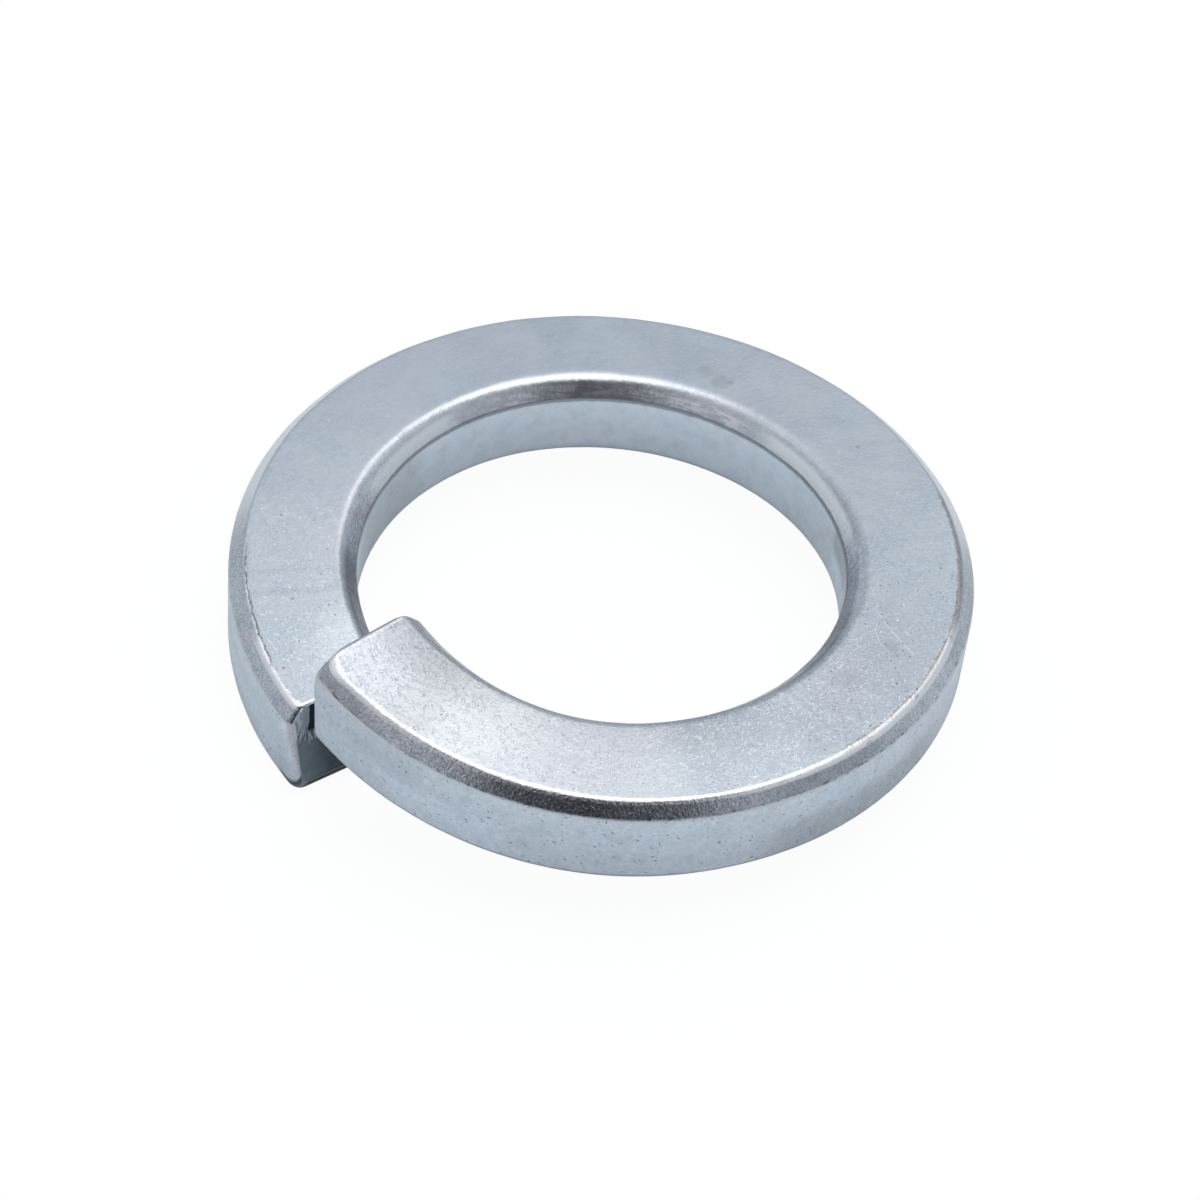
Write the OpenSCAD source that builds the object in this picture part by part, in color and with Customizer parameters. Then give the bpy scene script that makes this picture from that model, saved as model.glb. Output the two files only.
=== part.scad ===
// Spring lock washer: one open turn of bevelled rectangular spring wire, coiled
// left-handed, with two sheared ends that spring apart. The bore axis is +Z, the
// split faces -Y, and the lowest point of the low end lies at z = 0.

/* [Ring] */
// Diameter of the bore that the bolt passes through
bore_d = 30.5; // [24:0.1:42]
// Radial width of the wire, from the bore wall to the outer wall
wire_w = 8; // [5:0.1:14]
// Thickness of the wire, measured along the bolt
wire_t = 6; // [4.5:0.1:10]

/* [Coil] */
// Angle of the split between the top edges of the two ends
split_deg = 6.7; // [4:0.1:20]
// Rise of the even helix from end to end
coil_rise = 2.2; // [0.5:0.1:6]
// Extra lift of the high end above the even helix
lift_rise = 2.6; // [0:0.1:5]
// Arc over which the high end lifts
lift_arc = 59; // [30:1:120]
// Extra drop of the low end below the even helix
drop_rise = 1.6; // [0:0.1:4]
// Arc over which the low end drops
drop_arc = 113; // [40:1:160]

/* [Edges] */
// Width of the bevel at the top of the outer wall
outer_bevel_w = 0.92; // [0.5:0.02:1.6]
// Height of the bevel at the top of the outer wall
outer_bevel_h = 0.92; // [0.5:0.02:1.6]
// Width of the bevel at the top of the bore
inner_bevel_w = 0.97; // [0.5:0.02:1.6]
// Height of the bevel at the top of the bore
inner_bevel_h = 1.18; // [0.5:0.02:1.8]
// Width of the soft strip where a bevel turns into the top face
bevel_soft = 0.26; // [0.1:0.02:0.5]
// Rounding at the bottom of the outer wall
outer_round = 0.52; // [0.3:0.02:1]
// Rounding at the bottom of the bore
inner_round = 0.95; // [0.3:0.02:1.4]

/* [Ends] */
// How far the foot of the low end runs past its top edge
low_lean = 0.93; // [0:0.01:1.6]
// How far the foot of the high end falls back from its top edge
high_lean = 0.2; // [0:0.01:1]
// Rounding where the shear rolled the foot of the low end
foot_roll = 0.7; // [0.3:0.05:1.2]
// Rounding where the shear rolled the top of the high end
crown_roll = 0.9; // [0.3:0.05:1.4]
// Rounding of the upright corners of both ends
corner_roll = 0.4; // [0.2:0.05:0.8]

/* [Hidden] */

bore_r = bore_d / 2;
outer_r = bore_r + wire_w;
half_t = wire_t / 2;
mean_r = bore_r + wire_w / 2;
sweep = 360 - split_deg;
low_end_deg = 270 - split_deg / 2;

// The section runs past both walls, which are then cut as true cylinders
overrun = 0.4;
// Angle between the stations of the sweep
station_deg = 3;
// Arc over which a leaning end face fades into the even coil
lean_arc = 9;
// Angle round a bottom rounding at which its facet changes
round_turn = 45;
// Steps of the rounding at an end, as shares of its depth, and the share at which
// the even section takes over
roll_steps = [0, 0.12, 0.38, 0.72];
roll_over = 1.15;
// Height that the coil takes up, and how far the wall cuts run past it
coil_h = wire_t + coil_rise + lift_rise + drop_rise;
cut_past = 1;

function squared(x) = x * x;
function ramp(x) = squared(min(max(x, 0), 1));
function degrees_of(length_mm) = length_mm / mean_r * 180 / PI;

// Height of the middle of the wire at an angle along the coil
function middle_z(along) =
    coil_rise * along / sweep
    + lift_rise * ramp((along - sweep + lift_arc) / lift_arc)
    - drop_rise * ramp((drop_arc - along) / drop_arc);

// Depth that a rolled edge has lost at a share of its length, as a quarter round
function roll_loss(share) = 1 - sqrt(1 - squared(1 - share));

// Section of the wire as [radius, height] points: the top face, the outer bevel,
// the outer wall, the bottom face and the bore. The insets draw the top, the
// bottom and both walls in, and spread pushes the two walls out past their size.
function section(top_in, bottom_in, wall_in, spread) =
    let (
        top = half_t - top_in,
        bottom = bottom_in - half_t,
        out = outer_r - wall_in,
        in = bore_r + wall_in,
        half_soft = bevel_soft / 2,
        outer_slope = outer_bevel_h / outer_bevel_w,
        inner_slope = inner_bevel_h / inner_bevel_w,
        round_slope = tan(90 - round_turn / 2)
    ) [
        [in + inner_bevel_w + half_soft, top],
        [out - outer_bevel_w - half_soft, top],
        [out - outer_bevel_w + half_soft, top - half_soft * outer_slope],
        [out + spread, top - outer_bevel_h - spread * outer_slope],
        [out + spread, bottom + outer_round * (1 - cos(round_turn))
            + (outer_round * (1 - sin(round_turn)) + spread) * round_slope],
        [out - outer_round * (1 - sin(round_turn)), bottom + outer_round * (1 - cos(round_turn))],
        [out - outer_round, bottom],
        [in + inner_round, bottom],
        [in + inner_round * (1 - sin(round_turn)), bottom + inner_round * (1 - cos(round_turn))],
        [in - spread, bottom + inner_round * (1 - cos(round_turn))
            + (inner_round * (1 - sin(round_turn)) + spread) * round_slope],
        [in - spread, top - inner_bevel_h - spread * inner_slope],
        [in + inner_bevel_w - half_soft, top - half_soft * inner_slope]
    ];

// One station of the sweep: the section at an angle along the coil, with its
// points slid along the coil by the lean of the nearer end face
function station(along, shape) =
    let (
        turn = low_end_deg - along,
        low_share = low_lean * (1 - min(along / lean_arc, 1)),
        high_share = high_lean * (1 - min((sweep - along) / lean_arc, 1))
    ) [
        for (p = shape)
            let (slide = (low_share + high_share) * (half_t - p[1]) / wire_t)
            [
                p[0] * cos(turn) - slide * sin(turn),
                p[0] * sin(turn) + slide * cos(turn),
                p[1] + middle_z(along)
            ]
    ];

foot_arc = degrees_of(foot_roll);
crown_arc = degrees_of(crown_roll);
body_from = foot_arc * roll_over;
body_to = sweep - crown_arc * roll_over;
body_steps = ceil((body_to - body_from) / station_deg);

low_stations = [
    for (share = roll_steps)
        station(share * foot_arc,
            section(0, foot_roll * roll_loss(share), corner_roll * roll_loss(share), 0))
];
body_stations = [
    for (i = [0 : body_steps])
        station(body_from + (body_to - body_from) * i / body_steps, section(0, 0, 0, overrun))
];
high_stations = [
    for (i = [len(roll_steps) - 1 : -1 : 0])
        let (share = roll_steps[i])
        station(sweep - share * crown_arc,
            section(crown_roll * roll_loss(share), 0, corner_roll * roll_loss(share), 0))
];
stations = concat(low_stations, body_stations, high_stations);
sides = len(stations[0]);
coil_points = [for (ring = stations) for (p = ring) p];
lowest = min([for (p = coil_points) p[2]]);

// Two triangles for each side of the section between neighbouring stations
coil_faces = concat(
    [
        for (i = [0 : len(stations) - 2])
            for (j = [0 : sides - 1])
                let (
                    a = i * sides + j,
                    b = i * sides + (j + 1) % sides,
                    c = a + sides,
                    d = b + sides
                )
                each [[a, b, d], [a, d, c]]
    ],
    [[for (j = [sides - 1 : -1 : 0]) j]],
    [[for (j = [0 : sides - 1]) (len(stations) - 1) * sides + j]]
);

module coil() {
    translate([0, 0, -lowest])
        polyhedron(points = coil_points, faces = coil_faces, convexity = 6);
}

module wall_cut(radius) {
    translate([0, 0, -cut_past])
        cylinder(r = radius, h = coil_h + 2 * cut_past, $fn = 180);
}

module washer() {
    color([0.66, 0.70, 0.74])
        difference() {
            intersection() {
                coil();
                wall_cut(outer_r);
            }
            wall_cut(bore_r);
        }
}

washer();
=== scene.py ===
import math

import bpy
import numpy as np
from mathutils import Matrix, Vector


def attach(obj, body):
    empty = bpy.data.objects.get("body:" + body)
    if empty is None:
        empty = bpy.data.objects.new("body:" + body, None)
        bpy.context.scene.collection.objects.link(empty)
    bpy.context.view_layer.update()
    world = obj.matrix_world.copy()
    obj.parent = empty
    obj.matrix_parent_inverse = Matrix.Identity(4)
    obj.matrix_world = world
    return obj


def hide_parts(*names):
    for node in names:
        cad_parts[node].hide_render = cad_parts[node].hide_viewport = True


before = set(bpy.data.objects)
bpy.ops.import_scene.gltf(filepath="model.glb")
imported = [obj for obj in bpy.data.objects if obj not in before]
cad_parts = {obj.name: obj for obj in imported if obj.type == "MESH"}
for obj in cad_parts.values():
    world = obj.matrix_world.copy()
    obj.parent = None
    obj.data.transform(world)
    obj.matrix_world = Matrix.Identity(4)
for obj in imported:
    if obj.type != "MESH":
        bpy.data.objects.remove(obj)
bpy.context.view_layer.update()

MM = 0.001

# sizes, in millimetres and degrees, as in the part
BORE_R = 15.25
WIRE_W = 8.0
WIRE_T = 6.0
OUTER_R = BORE_R + WIRE_W
MEAN_R = BORE_R + WIRE_W / 2
HALF_T = WIRE_T / 2
SPLIT = 6.7
SWEEP = 360 - SPLIT
LOW_END = 270 - SPLIT / 2
COIL_RISE, LIFT_RISE, LIFT_ARC, DROP_RISE, DROP_ARC = 2.2, 2.6, 59.0, 1.6, 113.0
OUT_W, OUT_H, IN_W, IN_H = 0.92, 0.92, 0.97, 1.18
OUTER_ROUND, INNER_ROUND = 0.52, 0.95
# the sheared ends follow the photograph more closely than the part's own: the high one reaches
# further and is rolled less, and the low one leans more
END_REACH = 0.95
SKIN_SWEEP = SWEEP + END_REACH
LOW_LEAN, HIGH_LEAN, LEAN_ARC = 1.56, 0.2, 9.0
FOOT_ROLL, CROWN_ROLL = 0.7, 0.45
LOW_CORNER, HIGH_CORNER = 0.4, 0.6

# sizes of the skin's own, finer than the part's
# the roundings where the bevels meet the top face and the walls
INNER_SHOULDER, OUTER_SHOULDER, WALL_SHOULDER, BORE_SHOULDER = 1.0, 0.46, 0.34, 0.3
# towards the high end the outer bevel's two edges soften
SOFT_END, SOFT_END_REACH = 0.95, 2.2
# the shear drew both corners of the high end in, as (share of the rounding, radius in plan)
OUTER_DRAW, INNER_DRAW = (0.8, 2.0), (0.7, 1.2)
# a small lip along the low end's top edge
LIP_DROP, LIP_REACH = 0.10, 0.16
# the skin lies this far inside the section above, and is uneven by these heights
SKIN_INSET = 0.012
BROAD_WAVE, MIDDLE_WAVE, SMALL_WAVE = 0.004, 0.003, 0.005
# burrs pushed up on the outer edge of the top face, as (degrees along, size)
BURRS = ((265.3, 0.15), (263.0, 0.12), (261.9, 0.07))
BURR_HEIGHT = 0.045
# depth of the fold near the low end
FOLD_DEPTH = 0.026
# faces that meet at more than this angle are shaded as a sharp edge
SHARP_EDGE = 42
SHAPE_SEED = 30


def clip01(x):
    """The value, held between 0 and 1."""
    return np.clip(x, 0.0, 1.0)


def smooth(x, a, b):
    """0 before a, 1 after b, smooth between them."""
    t = clip01((np.asarray(x, float) - a) / (b - a))
    return t * t * (3 - 2 * t)


def degrees_of(mm):
    """The angle that a length along the middle of the wire takes up."""
    return mm / MEAN_R * 180 / math.pi


def middle_z(along):
    """Height of the wire's middle at an angle along the coil."""
    lift = clip01((along - SWEEP + LIFT_ARC) / LIFT_ARC) ** 2
    drop = clip01((DROP_ARC - along) / DROP_ARC) ** 2
    return COIL_RISE * along / SWEEP + LIFT_RISE * lift - DROP_RISE * drop


def roll_loss(share):
    """How much of a rolled edge's radius is lost at a share of that radius from the end."""
    return 1 - np.sqrt(np.maximum(1 - (1 - clip01(share)) ** 2, 0))


def drawn_in(distance, radius):
    """How far a corner rounded in plan falls back at a distance from the end."""
    left = np.maximum(radius - distance, 0)
    return radius - np.sqrt(np.maximum(radius ** 2 - left ** 2, 0))


rng = np.random.RandomState(SHAPE_SEED)


class Noise:
    """Smooth value noise from -1 to 1 on a wrapped grid of random values."""

    def __init__(self, size=64):
        self.grid = rng.uniform(-1, 1, (size, size))
        self.size = size

    def __call__(self, u, v=0.0):
        u, v = np.broadcast_arrays(np.asarray(u, float), np.asarray(v, float))
        iu, iv = np.floor(u).astype(int), np.floor(v).astype(int)
        fu, fv = u - iu, v - iv
        fu, fv = fu * fu * (3 - 2 * fu), fv * fv * (3 - 2 * fv)
        g, n = self.grid, self.size
        a, b = g[iu % n, iv % n], g[(iu + 1) % n, iv % n]
        c, d = g[iu % n, (iv + 1) % n], g[(iu + 1) % n, (iv + 1) % n]
        return (a * (1 - fu) + b * fu) * (1 - fv) + (c * (1 - fu) + d * fu) * fv


# the washer
CORNERS = 6
ARC_STEPS = [9, 9, 7, 9, 10, 7]          # samples round each corner
FLAT_STEPS = [22, 7, 12, 6, 10, 7]       # samples on the flat after each corner
BODY_STATIONS = 716
END_STATIONS = 20
CAP_RINGS = 28


def stations():
    """Angles along the wire, close together where the ends roll over."""
    t = np.linspace(0, 1, END_STATIONS)
    end = 1.35 * (0.25 * t + 0.75 * t ** 2)
    low = end * degrees_of(FOOT_ROLL)
    high = SKIN_SWEEP - (end * degrees_of(CROWN_ROLL))[::-1]
    body = np.linspace(low[-1], high[0], BODY_STATIONS + 2)[1:-1]
    return np.concatenate([low, body, high])


def section(along):
    """The wire's section at each station as (station, sample, 2) points of radius and height."""
    mm = along * MEAN_R * math.pi / 180
    wide, fine = Noise(), Noise()
    low_share = along / degrees_of(FOOT_ROLL)
    high_share = (SKIN_SWEEP - along) / degrees_of(CROWN_ROLL)
    low_loss, high_loss = roll_loss(low_share), roll_loss(high_share)
    lip = LIP_DROP * roll_loss(low_share * FOOT_ROLL / LIP_REACH)
    top = HALF_T - CROWN_ROLL * high_loss - lip
    bottom = -HALF_T + FOOT_ROLL * low_loss
    high_corner = roll_loss((SKIN_SWEEP - along) / degrees_of(HIGH_CORNER))
    wall = np.maximum(LOW_CORNER * low_loss, HIGH_CORNER * high_corner)
    out, inn = OUTER_R - wall, BORE_R + wall

    def wave(row, size):
        """A slow wavering of one measure along the wire, up to its size."""
        return size * (0.6 * wide(mm / 7, row) + 0.4 * fine(mm / 1.7, row))

    ow = OUT_W + wave(0, 0.05)
    oh = OUT_H + wave(3, 0.05)
    iw = IN_W + wave(6, 0.04)
    ih = IN_H + wave(9, 0.04)
    to_end = (SKIN_SWEEP - along) * math.pi / 180 * OUTER_R
    ow = ow + OUTER_DRAW[0] * drawn_in(to_end, OUTER_DRAW[1])
    iw = iw + INNER_DRAW[0] * drawn_in(to_end, INNER_DRAW[1])
    one = np.ones_like(along)
    corners = np.stack([
        np.stack([inn + iw, top], -1),
        np.stack([out - ow, top], -1),
        np.stack([out, top - oh], -1),
        np.stack([out, bottom], -1),
        np.stack([inn, bottom], -1),
        np.stack([inn, top - ih], -1),
    ], 1)
    soft_end = SOFT_END * smooth(SKIN_SWEEP - along, degrees_of(SOFT_END_REACH), 0)
    radii = np.stack([
        INNER_SHOULDER * (1 + wave(12, 0.2)),
        OUTER_SHOULDER * (1 + wave(15, 0.35)) + soft_end,
        WALL_SHOULDER * (1 + wave(18, 0.4)) + soft_end,
        OUTER_ROUND * one,
        INNER_ROUND * one,
        BORE_SHOULDER * (1 + wave(21, 0.3)),
    ], -1)
    # each corner becomes an arc between the points where it touches the two flats
    to_last = np.roll(corners, 1, 1) - corners
    to_next = np.roll(corners, -1, 1) - corners
    last_mm, next_mm = np.linalg.norm(to_last, axis=-1), np.linalg.norm(to_next, axis=-1)
    to_last, to_next = to_last / last_mm[..., None], to_next / next_mm[..., None]
    cosine = np.clip((to_last * to_next).sum(-1), -0.9999, 0.9999)
    half = np.arccos(cosine) / 2
    tangent = np.minimum(radii / np.tan(half), 0.47 * np.minimum(last_mm, next_mm))
    arc_from = corners + to_last * tangent[..., None]
    arc_to = corners + to_next * tangent[..., None]
    weight = np.sin(half)
    rows, zone, kind = [], [], []
    for k in range(CORNERS):
        for i in range(ARC_STEPS[k]):
            u = i / (ARC_STEPS[k] - 1)
            w = weight[:, k, None]
            q = (1 - u) ** 2 * arc_from[:, k] + 2 * u * (1 - u) * w * corners[:, k] + u * u * arc_to[:, k]
            rows.append(q / ((1 - u) ** 2 + 2 * u * (1 - u) * w + u * u))
            zone.append(k + u - 0.5)
            kind.append(1.0)
        n = FLAT_STEPS[k]
        start, end = arc_to[:, k], arc_from[:, (k + 1) % CORNERS]
        for i in range(1, n + 1):
            u = i / (n + 1)
            rows.append(start + (end - start) * u)
            zone.append(k + 0.5)
            kind.append(0.0)
    return np.stack(rows, 1), np.array(zone), np.array(kind)


along = stations()
sec, zone, kind = section(along)
ROWS, SAMPLES = sec.shape[:2]
edge = np.linalg.norm(np.roll(sec[ROWS // 2], -1, 0) - sec[ROWS // 2], axis=-1)
perimeter = np.concatenate([[0], np.cumsum(edge)])
centre_mm = along * MEAN_R * math.pi / 180

# outward normals of the section, for the small unevenness of a rolled surface
step = np.roll(sec, -1, 1) - np.roll(sec, 1, 1)
normal = np.stack([-step[..., 1], step[..., 0]], -1)
normal /= np.linalg.norm(normal, axis=-1, keepdims=True)
low_wave, mid_wave, small_wave = Noise(), Noise(), Noise()
along_mm = centre_mm[:, None] * np.ones((1, SAMPLES))
round_mm = np.ones((ROWS, 1)) * perimeter[None, :-1]
# the broad waves run slantwise, so that none lies straight across the wire
slant_u, slant_v = 0.82 * along_mm + 0.57 * round_mm, 0.82 * round_mm - 0.57 * along_mm
uneven = BROAD_WAVE * low_wave(slant_u / 5.0, slant_v / 3.1)
uneven = uneven + MIDDLE_WAVE * mid_wave(slant_u / 1.6, slant_v / 1.3)
uneven += (0.35 + 0.65 * kind[None, :]) * SMALL_WAVE * small_wave(along_mm / 0.55, round_mm / 0.5)
for spot, size in BURRS:
    away = ((along[:, None] - spot) * math.pi / 180 * OUTER_R / size) ** 2
    away = away + ((zone[None, :] - 0.72) / 0.22) ** 2
    uneven -= BURR_HEIGHT * np.exp(-away)
# a fold left by the rolling, sunk along the inner side of the outer bevel near the low end
fold_on = smooth(along, 8, 13) * (1 - smooth(along, 31, 38))
fold_at = 0.60 + 0.10 * low_wave(centre_mm / 2.3, 40.5) + 0.08 * mid_wave(centre_mm / 0.6, 20.5)
fold = np.exp(-((zone[None, :] - fold_at[:, None]) / 0.09) ** 2)
uneven += FOLD_DEPTH * fold_on[:, None] * fold
sec = sec - normal * (SKIN_INSET + uneven)[..., None]

turn = np.radians(LOW_END - along)[:, None]
lean = LOW_LEAN * clip01(1 - along / LEAN_ARC) + HIGH_LEAN * clip01(1 - (SKIN_SWEEP - along) / LEAN_ARC)
slide = lean[:, None] * (HALF_T - sec[..., 1]) / WIRE_T
body = np.stack([
    sec[..., 0] * np.cos(turn) - slide * np.sin(turn),
    sec[..., 0] * np.sin(turn) + slide * np.cos(turn),
    sec[..., 1] + middle_z(along)[:, None],
], -1)


def cap(ring):
    """Rings of points from an end's outline towards its middle, and the middle itself."""
    middle = ring.mean(0)
    rows = []
    for i in range(1, CAP_RINGS + 1):
        share = 1 - i / (CAP_RINGS + 0.6)
        rows.append(middle + (ring - middle) * share)
    return rows, middle


verts = [body.reshape(-1, 3)]
quads, tris = [], []
idx = np.arange(ROWS * SAMPLES).reshape(ROWS, SAMPLES)
right = np.roll(idx, -1, 1)
quads.append(np.stack([idx[:-1], idx[1:], right[1:], right[:-1]], -1).reshape(-1, 4))
count = ROWS * SAMPLES
for row, flip in ((0, False), (ROWS - 1, True)):
    rows, middle = cap(body[row])
    outer = idx[row]
    for ring in rows:
        inner = count + np.arange(SAMPLES)
        count += SAMPLES
        verts.append(ring)
        q = np.stack([outer, np.roll(outer, -1), np.roll(inner, -1), inner], -1)
        quads.append(q[:, ::-1] if flip else q)
        outer = inner
    verts.append(middle[None])
    t = np.stack([outer, np.roll(outer, -1), np.full(SAMPLES, count)], -1)
    tris.append(t[:, ::-1] if flip else t)
    count += 1
points = np.concatenate(verts)
lowest = points[:, 2].min()
points[:, 2] -= lowest
faces = [tuple(q) for q in np.concatenate(quads).tolist()] + [tuple(t) for t in np.concatenate(tris).tolist()]

mesh = bpy.data.meshes.new("washer_skin")
mesh.from_pydata((points * MM).tolist(), [], faces)
mesh.validate()
mesh.update()
washer = bpy.data.objects.new("washer_skin", mesh)
bpy.context.scene.collection.objects.link(washer)

# where each point lies, in millimetres: along the wire and round its section, from the
# inner edge of the top face outwards; the seam of the second lies under the wire
seam = int(np.argmax((kind < 0.5) & (zone > 3.4))) + FLAT_STEPS[3] // 2
around = perimeter[:-1].copy()
around[seam:] -= perimeter[-1]
corner_at = [float(around[int(np.argmin(np.abs(zone - k) + (kind < 0.5)))]) for k in range(CORNERS)]
LENGTH = float(centre_mm[-1])
coil = np.zeros((len(points), 3), np.float32)
coil[:ROWS * SAMPLES, 0] = along_mm.ravel()
coil[:ROWS * SAMPLES, 1] = np.tile(around, ROWS)
at = ROWS * SAMPLES
for row, sign in ((0, -1), (ROWS - 1, 1)):
    middle = body[row].mean(0)
    reach = np.linalg.norm(body[row] - middle, axis=-1)
    for i in range(1, CAP_RINGS + 1):
        coil[at:at + SAMPLES, 0] = centre_mm[row] + sign * reach * i / (CAP_RINGS + 0.6)
        coil[at:at + SAMPLES, 1] = around
        at += SAMPLES
    coil[at, 0] = centre_mm[row] + sign * reach.mean()
    at += 1


def on_flat(k):
    """1 on the flat after corner k, falling to 0 across the corners beside it."""
    gap = np.abs(zone - (k + 0.5))
    return clip01(1 - np.minimum(gap, CORNERS - gap))


def give(name, *columns):
    """A vector attribute of up to three columns of values."""
    values = np.zeros((len(points), 3), np.float32)
    for i, column in enumerate(columns):
        values[:, i] = column
    mesh.attributes.new(name, "FLOAT_VECTOR", "POINT").data.foreach_set("vector", values.ravel())


def on_skin(k):
    """on_flat for every point of the mesh, 0 on the end faces."""
    values = np.zeros(len(points))
    values[:ROWS * SAMPLES] = np.tile(on_flat(k), ROWS)
    return values


TOP, OUTER, WALL, UNDER, BORE, INNER = (on_skin(k) for k in range(CORNERS))
high_from = ROWS * SAMPLES + CAP_RINGS * SAMPLES + 1
low_face, high_face = np.zeros(len(points)), np.zeros(len(points))
low_face[ROWS * SAMPLES:high_from] = 1
high_face[high_from:] = 1
give("faces", TOP, WALL, BORE)
give("bevels", OUTER, INNER, UNDER)
give("ends", low_face, high_face)
give("coil", *coil.T)


def on_ring(degrees, radius, lift=HALF_T):
    """Where a point of the ring lies, in millimetres, from its angle along the wire and its radius."""
    a = math.radians(LOW_END - degrees)
    return radius * math.cos(a), radius * math.sin(a), lift + float(middle_z(np.float64(degrees))) - lowest


# where the finish changes, and where light and shade are painted, point by point
degree = coil[:, 0] / (MEAN_R * math.pi / 180)
across = coil[:, 1].astype(float)


def span(a, b, soft):
    """1 between two angles along the wire, 0 a soft angle outside."""
    return smooth(degree, a - soft, a) * smooth(degree, b + soft, b)


def sloped(value, a, b, lo, hi):
    """A straight slope from lo at a to hi at b."""
    return lo + (hi - lo) * clip01((value - a) / (b - a))


def near(degrees, radius, reach):
    """1 round a spot of the top face, 0 at its reach."""
    off = np.linalg.norm(points - np.array(on_ring(degrees, radius)), axis=1)
    return smooth(off, reach, reach * 0.35)


# the grain is crisp on the side nearest to the photograph's camera and soft on the far one
crisp_at = 0.22 + 0.78 * smooth(points @ np.array([0.727, -0.686, 0]), -17, 6)
# painted highlight: the front of the top face is whiter, and brightens towards the outer edge
front_highlight_at = TOP * span(297, 333, 9)
lean_in = TOP * span(285, 360, 22)
radial = 0.86 + 0.13 * front_highlight_at
radial = radial + (1.08 - radial) * smooth(across, corner_at[0] + 0.4, corner_at[1] - 1.5)
# painted light and shade: walls and bore lighter at the top and darker towards the bottom, and the top face,
# walls and bore lighter or darker over spans along the ring
low_wall = WALL * smooth(across, corner_at[2] + 1.6, corner_at[2] + 3.2)
high_wall = WALL - low_wall
plate_light_and_shade = 1 + WALL * (sloped(across, corner_at[2] + 0.2, corner_at[2] + 4.6, 1.30, 1.06) - 1)
plate_light_and_shade += BORE * (sloped(across, corner_at[5] - 4.0, corner_at[5] - 0.3, 1.03, 1.36) - 1)
plate_light_and_shade *= 1 + lean_in * (radial - 1)
middle_out = smooth(across, corner_at[0] + 1.0, corner_at[0] + 2.5)
plate_light_and_shade *= 1 - TOP * middle_out * (0.05 * span(236, 264, 8) + 0.03 * span(242, 250, 6))
plate_light_and_shade *= 1 - 0.16 * TOP * span(331, 362, 7) * smooth(across, corner_at[0] + 3.2, corner_at[0] + 0.8)
plate_light_and_shade *= 1 - 0.09 * TOP * middle_out * span(337, 364, 7)
plate_light_and_shade *= 1 + low_wall * (0.15 * span(8, 26, 7) + 0.14 * span(323, 337, 7) - 0.22 * span(250, 276, 9))
plate_light_and_shade *= 1 - 0.13 * high_wall * span(337, 360, 6) - 0.16 * BORE * span(49, 71, 9)
# painted shadow over the upper bore where the wire turns in, with a little painted light below it
turned_in = BORE * span(204, 216, 5)
bore_top = smooth(across, corner_at[5] - 2.4, corner_at[5] - 1.3)
plate_light_and_shade *= 1 + turned_in * (0.16 - 0.46 * bore_top)
# painted light and shade on the bevels: lighter or darker over spans along the ring
bevel_light_and_shade = 1 + OUTER * (0.18 * span(241, 251, 5) + 0.20 * span(327, 341, 5) + 0.12 * span(9, 27, 7)
                          - 0.34 * span(295, 320, 6) - 0.18 * span(263, 277, 6)
                          - 0.17 * span(343, 364, 6) * smooth(across, corner_at[1] + 0.2, corner_at[1] + 0.9))
bevel_light_and_shade *= 1 + INNER * (0.24 * span(38, 60, 8) + 0.16 * span(66, 92, 8) + 0.18 * span(168, 192, 8)
                           + 0.28 * span(214, 230, 6) - 0.14 * span(240, 254, 5))
give("tone", plate_light_and_shade, bevel_light_and_shade, crisp_at)
# painted highlight: the low arm made pale where it dips under the high end
glow_off = np.linalg.norm(points - np.array(on_ring(9.0, 16.9)), axis=1)
glow_at = 0.24 * TOP * smooth(glow_off, 4.2, 0.6)
scuffed = np.maximum.reduce([
    near(277, 19.0, 9.0),
    0.7 * near(258, 19.5, 7.0),
    0.36 * near(14, 19.0, 5.5),
]) + 0.05
pitted = 0.13 * near(236, 19.5, 11.0) + 0.10 * WALL + 0.02
give("wear_and_glow", glow_at, scuffed, pitted)
# bevels: painted highlight, pale on the far rim, at the sides of the bore and across its far side;
# a dark line along the bore's edge, and painted shade over the inner bevel in two spans
rim_at = 0.75 * OUTER * span(48, 205, 12)
sides_at = INNER * np.maximum(0.8 * span(60, 84, 8), 0.95 * span(172, 206, 8))
far_at = 0.8 * INNER * span(104, 156, 14)
give("painted_sheen", rim_at, sides_at, far_at)
# painted shade: the whole inner bevel darker over two spans along the ring; elsewhere only a faint dark line
# along the bore's edge
bevel_shade_spans = np.maximum(span(2, 33, 9), 0.75 * span(246, 262, 8))
dark_edge_and_shade_at = INNER * np.maximum(smooth(across, corner_at[5] + 0.85, corner_at[5] + 0.25), bevel_shade_spans)
dark_edge_and_shade_at = dark_edge_and_shade_at * (0.12 + 0.40 * bevel_shade_spans)
worn_on = np.maximum.reduce([span(-2, 13, 5), span(236, 300, 8), 0.7 * span(300, 352, 5)])
fold_dark = np.maximum(span(11, 33, 3), 0.4 * span(6, 11, 2))
give("lines", dark_edge_and_shade_at, worn_on, fold_dark)
give("marks", span(203, 262, 6), span(-3, 10, 2), span(225, 352, 4))
give("flecks_and_front_highlight", 0.8 * span(336, 360, 4), front_highlight_at, np.maximum(TOP, OUTER) * span(338, 364, 8))
mesh.shade_smooth()
mesh.set_sharp_from_angle(angle=math.radians(SHARP_EDGE))


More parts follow.
